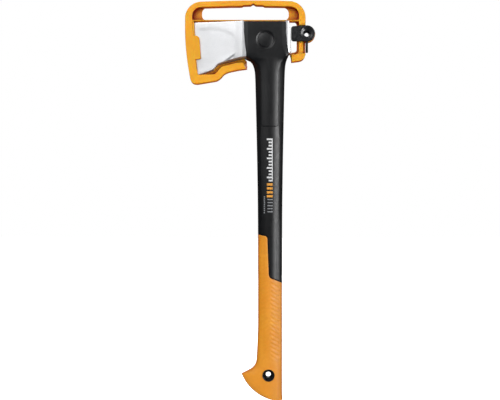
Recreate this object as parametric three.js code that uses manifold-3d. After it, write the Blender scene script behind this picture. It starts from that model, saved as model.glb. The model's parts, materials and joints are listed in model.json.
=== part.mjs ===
// Splitting axe with a composite handle and a plastic blade sheath.
// Units are millimetres. +X runs from the cutting edge to the poll, +Z up the handle to the head,
// and +Y through the thickness. The origin is on the handle's axis, where a hand holds the grip.
import * as THREE from 'three';
import { mergeVertices } from 'three/addons/utils/BufferGeometryUtils.js';
import Module from 'manifold-3d';

const wasm = await Module();
wasm.setup();

// ---------------------------------------------------------------- driving dimensions

const GAP = 0.3;               // running gap between neighbouring pieces
const FAR = 60;                // reach of cutting tools past the object's faces
const REACH = { left: -160, right: 100 };

// head
const HEAD_TOP = 482.8;        // height of the head's flat top
const WRAP_TOP = 481.5;        // height of the moulding round the head
const EDGE_X = -135.5;         // foremost point of the cutting edge
const EDGE_BOTTOM_X = -127;
const EDGE_BOTTOM_Z = 393.5;
const POLL_X = 32.5;           // poll face at the height of the latch pivot
const POLL_LEAN = THREE.MathUtils.degToRad(3.3);
const POLL_HALF = 17;          // half thickness of the head at the poll
const WEDGE_BOTTOM = 370;      // the wedge is cut from a bar between these heights
const WEDGE_TOP = 510;
const WEB_HALF = 11;           // half thickness of the steel inside the handle
const WEB_TOP = 476;           // top of the steel inside the handle
const WEB_BOTTOM = 427;
const WRAP_BOTTOM = 423.2;     // below this the handle stands clear of the head
const EYE_X = -7.9;            // centre of the round eye through head and handle
const EYE_Z = 451.3;
const EYE_R = 9;

// handle
const WRAP_HALF = 18.5;        // half thickness of the moulding round the head
const NECK_HALF = 17;
const SHAFT_HALF = 15;
const POMMEL_HALF = 13;
const SHAFT_TAPER_Z = 377;     // the shaft tapers from here down to the grip
const SHAFT_TOP_HALF_WIDTH = 24;
const GRIP_TOP_Z = 123;
const SHAFT_HALF_WIDTH = 19.8;
const GRIP_THICKNESS = 2.6;    // soft layer over the core
const CORE_BOTTOM = -72;
const CORE_TOP = 170;          // the core runs on inside the bare shaft up to here
const CORE_WALL = 4.5;
const BORE_TOP = 390;          // the shaft is hollow up to here
const PLUG_R = 12.4;           // round plugs in the eye
const PLUG_RECESS_R = 15;
const PLUG_RECESS_FLOOR = 16.2;
const POMMEL_ARC = { x: 18, z: -70.5, r: 69.8 };
const HOOK_TIP = { x: -47, z: -95.8 };
const HANG_X = -2.8;           // hanging hole
const HANG_Z = -97.1;
const HANG_R = 9.8;            // outside of the eyelet
const HANG_WAIST_R = 4.1;

// sheath
const SHEATH_HALF = 7;
const RIM = 12.1;              // width of the rim's flat face
const SHEATH_LEFT = -139.8;
const SHEATH_RIGHT = 58.4;
const SHEATH_TOP = 518;        // crown of the carry bar, over the hanging notch
const CORNER_R = 27;
const RIB_BOTTOM = 483.5;
const RIB_TOP = 486;
const BAR_UNDERSIDE = 507.6;
const SLOT = { left: -112.3, right: 31.1, r: 9.4 };
const HANG_NOTCH_X = -27.5;
const CHANNEL_HALF = 5.6;      // outside of the walls beside the blade
const PLATE_FRONT = 2;         // thin plates round the carry slot and the poll window
const PLATE_REAR = 5;
const BLADE_GAP = 0.5;
const BLADE_SIDE_X = -100;     // the channel beside the blade ends here
const RECESS = { left: 42, bottom: 430.6 };

// latch
const PIVOT_X = 60.5;
const PIVOT_Z = 463.4;
const LATCH_FRONT = -9;
const LATCH_BACK = -4.6;
const LATCH_DISC_R = 13.3;
const BOSS_R = 13.9;
const BOSS_FRONT = -4.3;
const BOSS_REAR = 6.8;
const BARREL_R = 8.2;
const BARREL_NECK_R = 6;
const RING_SEAT = 4.4;         // the floor of the retaining ring's seat
const RING_R = 10.4;
const LATCH_WAIST_R = 3.2;
const PAD = { left: 34.3, top: 475.1, bottom: 450.4, r: 4.5 };
const TAIL = { left: 58.3, right: 62.2, bottom: 431.6 };

// ---------------------------------------------------------------- helpers

const COLOURS = {
  steel: [0xdcdcde, 0.3, 0.9],
  blackPlastic: [0x3a3b3f, 0.55, 0],
  softOrange: [0xdc8c2a, 0.6, 0],
  orangePlastic: [0xe8ae33, 0.45, 0],
  glossBlack: [0x2d2e30, 0.35, 0],
};

const axe = new THREE.Group();

function addPart(name, solid, colour) {
  const [color, roughness, metalness] = COLOURS[colour];
  const material = new THREE.MeshStandardMaterial({ color, roughness, metalness });
  const mesh = new THREE.Mesh(toGeometry(solid), material);
  mesh.name = name;
  axe.add(mesh);
}

function toSolid(geometry) {
  const bare = geometry.clone();
  bare.deleteAttribute('normal');
  bare.deleteAttribute('uv');
  const merged = mergeVertices(bare, 1e-4);
  return new wasm.Manifold(new wasm.Mesh({
    numProp: 3,
    vertProperties: new Float32Array(merged.attributes.position.array),
    triVerts: new Uint32Array(merged.index.array),
  }));
}

function toGeometry(solid) {
  const mesh = solid.getMesh();
  const geometry = new THREE.BufferGeometry();
  geometry.setAttribute('position', new THREE.BufferAttribute(mesh.vertProperties, 3));
  geometry.setIndex(new THREE.BufferAttribute(mesh.triVerts, 1));
  geometry.computeVertexNormals();
  return geometry;
}

// A closed outline in X and Z whose corners [x, z, radius] are rounded by arcs.
function outline(corners) {
  const shape = new THREE.Shape();
  corners.forEach(([x, z, r = 0], i) => {
    const here = new THREE.Vector2(x, z);
    const before = new THREE.Vector2(...corners.at(i - 1)).sub(here);
    const after = new THREE.Vector2(...corners[(i + 1) % corners.length]).sub(here);
    const half = Math.acos(before.dot(after) / before.length() / after.length()) / 2;
    const back = r / Math.tan(half);
    const from = here.clone().addScaledVector(before.normalize(), back);
    const to = here.clone().addScaledVector(after.normalize(), back);
    if (i === 0) shape.moveTo(from.x, from.y);
    else shape.lineTo(from.x, from.y);
    if (r > 0) {
      const middle = before.clone().add(after).normalize();
      const centre = here.clone().addScaledVector(middle, r / Math.sin(half));
      const start = Math.atan2(from.y - centre.y, from.x - centre.x);
      const end = Math.atan2(to.y - centre.y, to.x - centre.x);
      shape.absarc(centre.x, centre.y, r, start, end, before.cross(after) > 0);
    }
  });
  shape.closePath();
  return shape;
}

// The outline as a plate between two values of Y, with its edges rounded by the bevel.
function plate(shape, front, rear, bevel = 0, curveSegments = 6) {
  const geometry = new THREE.ExtrudeGeometry(shape, {
    depth: rear - front - 2 * bevel,
    curveSegments,
    bevelEnabled: bevel > 0,
    bevelThickness: bevel,
    bevelSize: bevel * 0.7,
    bevelOffset: -bevel * 0.7,
    bevelSegments: 2,
  });
  geometry.rotateX(Math.PI / 2);
  geometry.translate(0, rear - bevel, 0);
  return toSolid(geometry);
}

// The outline cut right through, from both faces.
function through(shape) {
  return plate(shape, -FAR, FAR);
}

// A block wider than the object between two heights, and between two values of Y.
function block(bottom, top, front = -FAR, rear = FAR) {
  const { left, right } = REACH;
  return plate(outline([[left, bottom], [right, bottom], [right, top], [left, top]]), front, rear);
}

// A solid of revolution about the line through (x, z) along Y, from [radius, y] points.
function turned(x, z, profile, segments = 32) {
  const points = profile.map(([r, y]) => new THREE.Vector2(r, y));
  const geometry = new THREE.LatheGeometry([...points, points[0].clone()], segments);
  geometry.translate(x, 0, z);
  return toSolid(geometry);
}

function disc(x, z, r, front, rear) {
  return turned(x, z, [[0, front], [r, front], [r, rear], [0, rear]]);
}

// A smooth curve of x against z through the given [z, x] points, which rise in z.
function curveOf(points) {
  return (z) => {
    const last = points.length - 1;
    if (z <= points[0][0]) return points[0][1];
    if (z >= points[last][0]) return points[last][1];
    const i = points.findIndex(([height]) => height > z) - 1;
    const [z0, x0] = points[i];
    const [z1, x1] = points[i + 1];
    return x0 + (x1 - x0) * THREE.MathUtils.smoothstep(z, z0, z1) * 0.35
      + (x1 - x0) * ((z - z0) / (z1 - z0)) * 0.65;
  };
}

// A closed solid through level sections { z, left, right, half, power }.
function loft(sections, around = 28) {
  const vertices = [];
  const faces = [];
  const bend = (value, power) => Math.sign(value) * Math.abs(value) ** (2 / power);
  for (const { z, left, right, half, power } of sections) {
    for (let k = 0; k < around; k += 1) {
      const angle = (2 * Math.PI * (k + 0.5)) / around;
      const x = (left + right) / 2 + ((right - left) / 2) * bend(Math.cos(angle), power);
      vertices.push(x, half * bend(Math.sin(angle), power), z);
    }
  }
  for (let j = 0; j + 1 < sections.length; j += 1) {
    for (let k = 0; k < around; k += 1) {
      const a = j * around + k;
      const b = j * around + ((k + 1) % around);
      faces.push(a, b, b + around, a, b + around, a + around);
    }
  }
  const top = (sections.length - 1) * around;
  for (let k = 1; k + 1 < around; k += 1) {
    faces.push(0, k + 1, k, top, top + k, top + k + 1);
  }
  const geometry = new THREE.BufferGeometry();
  geometry.setAttribute('position', new THREE.Float32BufferAttribute(vertices, 3));
  geometry.setIndex(faces);
  return toSolid(geometry);
}

// ---------------------------------------------------------------- head

// The two lines where the handle's moulding meets the steel, moved outwards by a gap.
function wrapOutline(gap) {
  return outline([
    [-43 - gap, HEAD_TOP + FAR], [-43 - gap, 470], [-41.6 - gap, 448], [-39.3 - gap, 427],
    [-41 - gap, 400], [32 + gap, 400], [30.4 + gap, 428], [27.6 + gap, 446],
    [25.6 + gap, 474], [25.6 + gap, HEAD_TOP + FAR],
  ]);
}

// Side view of the head, grown outwards by a gap where the sheath has to clear it.
function headOutline(grow) {
  const pollX = (z) => POLL_X + (PIVOT_Z - z) * Math.tan(POLL_LEAN) + grow;
  const shape = new THREE.Shape();
  shape.moveTo(EDGE_X + 1 - grow, HEAD_TOP + grow);
  shape.quadraticCurveTo(EDGE_X - 1.5 - grow, 445, EDGE_BOTTOM_X - grow, EDGE_BOTTOM_Z - grow);
  shape.lineTo(-97, 402.4 - grow);
  shape.quadraticCurveTo(-93.5 + grow, 403.6 - grow, -90 + grow, 408 - grow);
  shape.quadraticCurveTo(-86 + grow, 413 - grow, -82, 414 - grow);
  shape.lineTo(-43, 423.6 - grow);
  shape.lineTo(30, 430 - grow);
  shape.lineTo(35, 432.5 - grow);
  shape.lineTo(pollX(440), 440);
  shape.lineTo(pollX(HEAD_TOP), HEAD_TOP + grow);
  shape.closePath();
  return shape;
}

// Plan view of the wedge: half thickness against X, hollow between the edge and the shoulder.
function wedge(grow) {
  const half = [
    [EDGE_X - 2, 0.4], [EDGE_X + 8, 2.6], [-112, 4.8], [-85, 8.4], [-66, 12.6], [-52, 16.2],
    [-44, POLL_HALF], [POLL_X - 5, POLL_HALF], [POLL_X + 6, POLL_HALF - 5],
  ];
  const side = half.map(([x, y]) => [x, y + grow]);
  const otherSide = side.map(([x, y]) => [x, -y]).reverse();
  const geometry = new THREE.ExtrudeGeometry(
    new THREE.Shape([...side, ...otherSide].map(([x, y]) => new THREE.Vector2(x, y))),
    { depth: WEDGE_TOP - WEDGE_BOTTOM, bevelEnabled: false },
  );
  geometry.translate(0, 0, WEDGE_BOTTOM);
  return toSolid(geometry);
}

function headBlank(grow) {
  return through(headOutline(grow)).intersect(wedge(grow));
}

// The steel is cut back on both sides for the moulding, which also runs over the top of the web.
function axeHead() {
  const pocket = wrapOutline(GAP);
  const roof = through(pocket).subtract(block(0, WEB_TOP));
  return headBlank(0)
    .subtract(plate(pocket, -FAR, -WEB_HALF))
    .subtract(plate(pocket, WEB_HALF, FAR))
    .subtract(roof)
    .subtract(disc(EYE_X, EYE_Z, EYE_R + GAP, -FAR, FAR));
}

// ---------------------------------------------------------------- handle

const handleLeft = curveOf([
  [-72, -22.2], [-42, -20.6], [-10, -SHAFT_HALF_WIDTH], [GRIP_TOP_Z, -SHAFT_HALF_WIDTH],
  [SHAFT_TAPER_Z, -SHAFT_TOP_HALF_WIDTH], [400, -25], [407, -26.4], [413.5, -28.8],
  [417.5, -32], [421, -36], [423.6, -40.6], [427, -39.3], [448, -41.6], [WRAP_TOP, -43],
]);

const handleRight = curveOf([
  [-139, 20.7], [-124, 19.9], [GRIP_TOP_Z, SHAFT_HALF_WIDTH + 0.2], [SHAFT_TAPER_Z, 23.8],
  [400, 24.5], [410, 25.2], [417, 26.5], [423.5, 28.6], [428.5, 31.4], [446, 27.6],
  [WRAP_TOP, 25.6],
]);

// The hook: its upper side runs out to the tip, and below the tip the pommel is an arc.
const hookTop = curveOf([
  [HOOK_TIP.z, HOOK_TIP.x], [-91.3, -37.9], [-86.4, -29.3], [-81.4, -25.1], [-76.5, -23],
  [-72, -22.2],
]);

function leftAt(z) {
  if (z >= -72) return handleLeft(z);
  if (z >= HOOK_TIP.z) return hookTop(z);
  return POMMEL_ARC.x - Math.sqrt(POMMEL_ARC.r ** 2 - (z - POMMEL_ARC.z) ** 2);
}

const halfAt = curveOf([
  [-139, POMMEL_HALF - 1], [-128, POMMEL_HALF], [-70, POMMEL_HALF + 0.5], [10, SHAFT_HALF + 0.5],
  [140, SHAFT_HALF], [SHAFT_TAPER_Z, SHAFT_HALF + 0.5], [425, NECK_HALF], [440, WRAP_HALF],
]);

const powerAt = curveOf([[-70, 3.4], [300, 3.2], [400, 3.6], [430, 7]]);

// Level sections of the handle, drawn inwards by an inset.
function handleSections(heights, inset) {
  return heights.map((z) => ({
    z,
    left: leftAt(z) + inset,
    right: handleRight(z) - inset,
    half: halfAt(z) - inset,
    power: powerAt(z),
  }));
}

const SHAFT_HEIGHTS = [
  -72, -57, -42, -26, -10, 50, GRIP_TOP_Z, 170, 230, 300, 345, SHAFT_TAPER_Z, 390, 400, 407,
  413.5, 417.5, 421, 423.6, 428, 437, 446, 460, WRAP_TOP,
];
const POMMEL_HEIGHTS = [
  -139.6, -137.8, -134.5, -129.5, -123.5, -116, -108, -101.5, -97.8, HOOK_TIP.z, -93.5, -91.3,
  -86.4, -81.4, -76.5,
];

// Side view of what the soft grip covers: all below a slanting line.
function gripRegion(shift) {
  return outline([
    [-60, 133.6 - shift], [-19.9, 133.6 - shift], [-4.6 - shift, 130.4 - shift, 5],
    [-1.9 - shift, 63.5, 7], [19.2 - shift, 54.4 - shift], [60, 37.5 - shift], [60, -160],
    [-60, -160],
  ]);
}

function fullHandle() {
  return loft(handleSections([...POMMEL_HEIGHTS, ...SHAFT_HEIGHTS], 0));
}

// The straight core inside the grip, from its bottom up to a height, drawn inwards by an inset.
function coreLoft(top, inset, bottom = CORE_BOTTOM) {
  const sections = handleSections(SHAFT_HEIGHTS.filter((z) => z <= top), inset);
  sections[0].z = bottom;
  return loft(sections, 24);
}

function handleShell() {
  const visible = fullHandle().subtract(through(gripRegion(0)));
  const core = coreLoft(CORE_TOP, GRIP_THICKNESS + GAP);
  const bore = coreLoft(BORE_TOP, GRIP_THICKNESS + CORE_WALL, CORE_BOTTOM - 5);
  const webOutline = outline([
    [-70, WEB_BOTTOM - GAP - 8], [-70, WEB_TOP + GAP], [60, WEB_TOP + GAP], [60, WEB_BOTTOM + 2],
    [-35, WEB_BOTTOM - GAP - 4],
  ]);
  let shell = visible.add(core).subtract(bore)
    .intersect(through(wrapOutline(0)).add(block(-200, WRAP_BOTTOM)))
    .subtract(plate(webOutline, -WEB_HALF - GAP, WEB_HALF + GAP));
  for (const side of [-1, 1]) {
    const span = [side * PLUG_RECESS_FLOOR, side * FAR].sort((a, b) => a - b);
    shell = shell.subtract(disc(EYE_X, EYE_Z, PLUG_RECESS_R, ...span));
  }
  return shell.subtract(disc(EYE_X, EYE_Z, PLUG_R + GAP, -FAR, FAR));
}

function lockPlug(side) {
  const profile = [
    [0, 0.2], [EYE_R, 0.2], [EYE_R, WEB_HALF + GAP], [PLUG_R, WEB_HALF + GAP], [PLUG_R, 17],
    [PLUG_R - 1.2, 17.7], [6, 18.1], [0, 18.2],
  ];
  const sided = profile.map(([r, y]) => [r, side * y]);
  return turned(EYE_X, EYE_Z, side > 0 ? sided : sided.reverse());
}

function gripSleeve() {
  return fullHandle()
    .intersect(through(gripRegion(GAP)))
    .subtract(coreLoft(CORE_TOP + 50, GRIP_THICKNESS, CORE_BOTTOM - GAP))
    .subtract(disc(HANG_X, HANG_Z, HANG_R + GAP, -FAR, FAR));
}

function coreEndPlug() {
  const stopper = coreLoft(-26, GRIP_THICKNESS + CORE_WALL + GAP);
  const hollow = coreLoft(-10, GRIP_THICKNESS + CORE_WALL + 3, CORE_BOTTOM + 4);
  return stopper.subtract(hollow);
}

function hangingEyelet() {
  const face = POMMEL_HALF + 0.2;
  return turned(HANG_X, HANG_Z, [
    [HANG_R, -face], [HANG_R, face], [HANG_R - 0.9, face], [HANG_WAIST_R + 1, 4],
    [HANG_WAIST_R, 1.5], [HANG_WAIST_R, -1.5], [HANG_WAIST_R + 1, -4], [HANG_R - 0.9, -face],
  ]);
}

// ---------------------------------------------------------------- sheath

function sheathOuter() {
  const shape = new THREE.Shape();
  const leftTop = SHEATH_TOP - 2 - CORNER_R;
  const rightTop = SHEATH_TOP - 1 - CORNER_R;
  shape.moveTo(SHEATH_LEFT, 466);
  shape.lineTo(SHEATH_LEFT, leftTop);
  shape.absarc(SHEATH_LEFT + CORNER_R, leftTop, CORNER_R, Math.PI, Math.PI / 2, true);
  shape.quadraticCurveTo(HANG_NOTCH_X - 8, SHEATH_TOP + 1.4, SHEATH_RIGHT - CORNER_R, SHEATH_TOP - 1);
  shape.absarc(SHEATH_RIGHT - CORNER_R, rightTop, CORNER_R, Math.PI / 2, 0, true);
  shape.lineTo(SHEATH_RIGHT, 430);
  shape.quadraticCurveTo(SHEATH_RIGHT - 1.5, 420, 47.5, 418.3);
  shape.lineTo(35.4, 416.7);
  shape.lineTo(-37.4, 405.6);
  shape.lineTo(-50.4, 404);
  shape.lineTo(-65, 401);
  shape.quadraticCurveTo(-73.5, 399.6, -78, 394);
  shape.quadraticCurveTo(-83, 387, -90.2, 385.3);
  shape.lineTo(-117, 380.9);
  shape.quadraticCurveTo(-129.6, 379, -131.2, 389.5);
  shape.quadraticCurveTo(SHEATH_LEFT + 0.8, 428, SHEATH_LEFT, 466);
  shape.closePath();
  return shape;
}

// The pocket of the carry slot, inside the rim and above the rib.
function upperPocket() {
  return outline([
    [SHEATH_LEFT + RIM, RIB_TOP, 1.5], [SHEATH_LEFT + RIM, BAR_UNDERSIDE - 1.2, 14],
    [HANG_NOTCH_X - 36, BAR_UNDERSIDE + 0.6], [HANG_NOTCH_X - 18, BAR_UNDERSIDE + 0.7],
    [HANG_NOTCH_X - 16.5, BAR_UNDERSIDE + 2.2], [HANG_NOTCH_X - 4.4, BAR_UNDERSIDE + 2.5],
    [HANG_NOTCH_X, BAR_UNDERSIDE + 5.2, 1.5], [HANG_NOTCH_X + 4.4, BAR_UNDERSIDE + 2.5],
    [HANG_NOTCH_X + 16.5, BAR_UNDERSIDE + 2.2], [HANG_NOTCH_X + 18, BAR_UNDERSIDE + 0.7],
    [SHEATH_RIGHT - RIM + 1, BAR_UNDERSIDE, 14], [SHEATH_RIGHT - RIM + 1, RIB_TOP, 1.5],
  ]);
}

// The slot right through the plates, as long as a hand is wide.
function carrySlot() {
  const { left, right, r } = SLOT;
  const top = BAR_UNDERSIDE + 0.4;
  return outline([
    [left, RIB_TOP, r], [left, top, r], [HANG_NOTCH_X - 17, top], [HANG_NOTCH_X - 17, top + 12],
    [HANG_NOTCH_X + 17, top + 12], [HANG_NOTCH_X + 17, top], [right, top, r], [right, RIB_TOP, r],
  ]);
}

// The pocket round the head, inside the rim and below the rib, open at the mouth.
function lowerPocket() {
  const right = SHEATH_RIGHT - RIM + 1;
  return outline([
    [SHEATH_LEFT + RIM, RIB_BOTTOM, 1], [right, RIB_BOTTOM, 1], [right, 429.6, 7],
    [36.6, 429.2, 2.5], [35, 400], [-36, 400], [-41, 417, 5], [-56, 415.2], [-79.5, 409.2, 6],
    [-91, 396.6, 5], [-118.4, 396, 1.5], [SHEATH_LEFT + RIM + 3, 430, 40],
  ]);
}

// What is cut right through: the head's place, the poll window and the mouth for the neck.
function headWindow() {
  return outline([
    [-125.2, RIB_BOTTOM], [44.2, RIB_BOTTOM, 5], [44.2, 431.8, 5], [37.2, 431.8], [33.4, 427.5],
    [35.3, 414], [35.3, 350], [-37.4, 350], [-37.4, 405.6], [-36.1, 416.5], [-38, 419.5],
    [-43, 421.4], [-82, 411.8], [-86.8, 410.4], [-91.4, 405.6], [-94.6, 401.6], [-98, 400.3],
    [-118, 395.2], [-119.6, 395.2],
  ]);
}

// The plates beside the blade, which stop it from leaving the channel sideways.
function tab(side) {
  const span = [side, side * (SHEATH_HALF - 0.2)].sort((a, b) => a - b);
  return plate(outline([
    [-130, 419.8], [-130, 460.2], [-116.4, 460.2, 6.5], [-113.8, 422, 2],
  ]), ...span);
}

// Room in the bar for the lever to turn in, and the seat of its retaining ring.
function latchRecess() {
  const { left, bottom } = RECESS;
  const top = PIVOT_Z + LATCH_DISC_R + 1;
  const corners = [[left, bottom], [left, top], [REACH.right, top], [REACH.right, bottom]];
  return plate(outline(corners), -FAR, BOSS_FRONT)
    .add(disc(PIVOT_X, PIVOT_Z, RING_R + 0.4, RING_SEAT, FAR));
}

function sheathFrame() {
  const bladeSide = through(outline([
    [REACH.left, 380], [REACH.left, 500], [BLADE_SIDE_X, 500], [BLADE_SIDE_X, 380],
  ]));
  const thinPlates = block(380, 530, PLATE_FRONT, PLATE_REAR);
  const channelWalls = block(380, 530, -CHANNEL_HALF, CHANNEL_HALF);
  const pocket = through(lowerPocket());
  return plate(sheathOuter(), -SHEATH_HALF, SHEATH_HALF, 1.4, 5)
    .add(disc(PIVOT_X, PIVOT_Z, BOSS_R, BOSS_FRONT, BOSS_REAR))
    .subtract(through(upperPocket()).subtract(thinPlates))
    .subtract(pocket.subtract(bladeSide).subtract(thinPlates))
    .subtract(pocket.intersect(bladeSide).subtract(channelWalls))
    .subtract(through(carrySlot()).intersect(through(upperPocket())))
    .subtract(through(headWindow()))
    .add(tab(-1))
    .add(tab(1))
    .subtract(headBlank(BLADE_GAP))
    .subtract(latchRecess())
    .subtract(disc(PIVOT_X, PIVOT_Z, BARREL_R + GAP, -FAR, FAR));
}

// ---------------------------------------------------------------- latch

function latchLever() {
  const pad = plate(outline([
    [PAD.left, PAD.bottom, PAD.r], [PAD.left, PAD.top, PAD.r], [PIVOT_X, PAD.top + 1.4],
    [PIVOT_X, PAD.bottom],
  ]), LATCH_FRONT, LATCH_BACK);
  const tail = plate(outline([
    [TAIL.left, TAIL.bottom, 1.2], [TAIL.left, PIVOT_Z], [TAIL.right, PIVOT_Z],
    [TAIL.right, TAIL.bottom, 1.2],
  ]), LATCH_FRONT + 0.6, LATCH_BACK);
  const body = turned(PIVOT_X, PIVOT_Z, [
    [0, LATCH_FRONT], [LATCH_DISC_R, LATCH_FRONT], [LATCH_DISC_R, LATCH_BACK],
    [BARREL_R, LATCH_BACK], [BARREL_R, RING_SEAT], [BARREL_NECK_R, RING_SEAT],
    [BARREL_NECK_R, BOSS_REAR], [0, BOSS_REAR],
  ]);
  const funnel = turned(PIVOT_X, PIVOT_Z, [
    [0, -FAR], [8, -FAR], [8, LATCH_FRONT], [6.8, LATCH_FRONT + 1.4], [LATCH_WAIST_R + 1.5, 2],
    [LATCH_WAIST_R, 3.6], [LATCH_WAIST_R, 5], [LATCH_WAIST_R + 1, BOSS_REAR],
    [LATCH_WAIST_R + 1, FAR], [0, FAR],
  ]);
  return body.add(pad).add(tail).subtract(funnel);
}

function latchRing() {
  return turned(PIVOT_X, PIVOT_Z, [
    [BARREL_NECK_R + GAP, RING_SEAT + GAP], [RING_R, RING_SEAT + GAP], [RING_R, 6.2],
    [RING_R - 0.7, BOSS_REAR], [BARREL_NECK_R + GAP, BOSS_REAR],
  ]);
}

// ---------------------------------------------------------------- assembly

addPart('axe_head', axeHead(), 'steel');
addPart('handle_shell', handleShell(), 'blackPlastic');
addPart('lock_plug_front', lockPlug(-1), 'blackPlastic');
addPart('lock_plug_rear', lockPlug(1), 'blackPlastic');
addPart('grip_sleeve', gripSleeve(), 'softOrange');
addPart('core_end_plug', coreEndPlug(), 'blackPlastic');
addPart('hanging_eyelet', hangingEyelet(), 'glossBlack');
addPart('sheath_frame', sheathFrame(), 'orangePlastic');
addPart('latch_lever', latchLever(), 'glossBlack');
addPart('latch_ring', latchRing(), 'glossBlack');

export default axe;
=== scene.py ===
"""A splitting axe in its blade sheath: detailed meshes, materials, light and camera.

Lengths below are millimetres, in the frame of the part: +X from the cutting edge to the poll, +Y through
the thickness, +Z up the handle, and the origin where a hand holds the grip. Meshes are scaled to metres.
"""
import json
import math

import bmesh
import bpy
import numpy as np
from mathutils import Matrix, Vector
from mathutils.geometry import tessellate_polygon


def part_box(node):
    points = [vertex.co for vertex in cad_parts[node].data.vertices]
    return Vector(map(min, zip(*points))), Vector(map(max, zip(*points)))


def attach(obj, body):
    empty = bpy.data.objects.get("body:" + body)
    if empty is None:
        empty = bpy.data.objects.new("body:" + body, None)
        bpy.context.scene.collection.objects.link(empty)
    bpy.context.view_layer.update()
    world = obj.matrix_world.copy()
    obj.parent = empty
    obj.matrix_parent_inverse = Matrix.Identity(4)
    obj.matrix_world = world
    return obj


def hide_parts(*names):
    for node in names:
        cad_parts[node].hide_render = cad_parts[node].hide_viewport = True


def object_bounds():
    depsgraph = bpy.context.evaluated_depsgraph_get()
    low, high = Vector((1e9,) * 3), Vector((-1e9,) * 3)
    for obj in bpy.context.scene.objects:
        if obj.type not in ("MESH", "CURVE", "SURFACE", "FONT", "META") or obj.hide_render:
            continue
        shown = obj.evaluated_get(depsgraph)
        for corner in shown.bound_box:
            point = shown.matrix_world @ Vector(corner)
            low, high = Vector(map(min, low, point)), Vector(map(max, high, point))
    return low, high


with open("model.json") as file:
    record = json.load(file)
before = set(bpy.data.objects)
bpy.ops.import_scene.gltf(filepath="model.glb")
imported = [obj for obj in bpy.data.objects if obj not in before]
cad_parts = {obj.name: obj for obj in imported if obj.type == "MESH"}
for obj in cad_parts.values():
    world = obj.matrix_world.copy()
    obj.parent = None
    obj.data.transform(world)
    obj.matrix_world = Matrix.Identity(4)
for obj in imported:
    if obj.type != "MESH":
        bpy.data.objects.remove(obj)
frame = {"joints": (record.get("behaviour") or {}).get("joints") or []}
cad_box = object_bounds()

MM = 0.001
FAR = 80                   # reach of cutting tools past the object's faces
GAP = 0.3                  # gap between neighbouring pieces


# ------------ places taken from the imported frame

def box_mm(node):
    """Lowest and highest corner of a CAD node, in millimetres."""
    low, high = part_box(node)
    return np.array(low) / MM, np.array(high) / MM


def joint_place(name):
    """Where a hinge's axis crosses the plane Y = 0, as (x, z) in millimetres."""
    joint = next(j for j in frame["joints"] if j["name"] == name)
    return joint["pos_m"][0] / MM, joint["pos_m"][2] / MM


def centre_xz(node):
    """The middle of a CAD node's box, as (x, z) in millimetres."""
    low, high = box_mm(node)
    return (low[0] + high[0]) / 2, (low[2] + high[2]) / 2


HEAD_LOW, HEAD_HIGH = box_mm("axe_head")
SHELL_HIGH = box_mm("handle_shell")[1]
GRIP_LOW = box_mm("grip_sleeve")[0]
SHEATH_LOW, SHEATH_HIGH = box_mm("sheath_frame")
LEVER_LOW = box_mm("latch_lever")[0]
PIVOT = joint_place("latch_turn")
EYE = centre_xz("lock_plug_front")
HANG = centre_xz("hanging_eyelet")


# ------------ outlines and curves

def smooth(value, start, end):
    """0 before start, 1 after end, and a smooth step between them."""
    t = np.clip((np.asarray(value, float) - start) / (end - start), 0, 1)
    return t * t * (3 - 2 * t)


def curve(points):
    """A smooth curve through (position, value) points, without overshoot."""
    at, value = (np.array(column, float) for column in zip(*points))
    step = np.diff(at)
    slope = np.diff(value) / step
    tangent = np.zeros(len(at))
    inner = slope[:-1] * slope[1:] > 0
    mean = 2 * slope[:-1] * slope[1:] / np.where(inner, slope[:-1] + slope[1:], 1)
    tangent[1:-1] = np.where(inner, mean, 0)
    tangent[0], tangent[-1] = slope[0], slope[-1]

    def evaluate(position):
        position = np.clip(np.asarray(position, float), at[0], at[-1])
        i = np.clip(np.searchsorted(at, position, side="right") - 1, 0, len(step) - 1)
        t = (position - at[i]) / step[i]
        return ((1 + 2 * t) * (1 - t) ** 2 * value[i] + t * (1 - t) ** 2 * step[i] * tangent[i]
                + t * t * (3 - 2 * t) * value[i + 1] + t * t * (t - 1) * step[i] * tangent[i + 1])

    return evaluate


def outline(corners, spacing=0.7):
    """A closed outline in X and Z whose corners (x, z, radius) are rounded by arcs."""
    points = []
    for i, corner in enumerate(corners):
        here = np.array(corner[:2], float)
        radius = corner[2] if len(corner) > 2 else 0
        before = np.array(corners[i - 1][:2], float) - here
        after = np.array(corners[(i + 1) % len(corners)][:2], float) - here
        before /= np.linalg.norm(before)
        after /= np.linalg.norm(after)
        if radius == 0:
            points.append(here)
            continue
        half = math.acos(np.clip(before @ after, -1, 1)) / 2
        start = here + before * radius / math.tan(half)
        end = here + after * radius / math.tan(half)
        middle = before + after
        centre = here + middle / np.linalg.norm(middle) * radius / math.sin(half)
        first = math.atan2(*(start - centre)[::-1])
        turn = (math.atan2(*(end - centre)[::-1]) - first + math.pi) % (2 * math.pi) - math.pi
        count = max(3, math.ceil(abs(turn) * radius / spacing))
        for k in range(count + 1):
            angle = first + turn * k / count
            points.append(centre + radius * np.array([math.cos(angle), math.sin(angle)]))
    return points


def bezier(start, control, end, count=14):
    """Points on a quadratic curve, without its last point."""
    t = np.linspace(0, 1, count, endpoint=False)[:, None]
    start, control, end = (np.array(p, float) for p in (start, control, end))
    return list((1 - t) ** 2 * start + 2 * t * (1 - t) * control + t * t * end)


def area(points):
    """Signed area, positive when the outline runs anticlockwise."""
    x, z = np.array(points).T
    return 0.5 * np.sum(x * np.roll(z, -1) - z * np.roll(x, -1))


# ------------ solids

def add_object(name, data):
    """A new object in the scene."""
    made = bpy.data.objects.new(name, data)
    bpy.context.scene.collection.objects.link(made)
    return made


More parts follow.
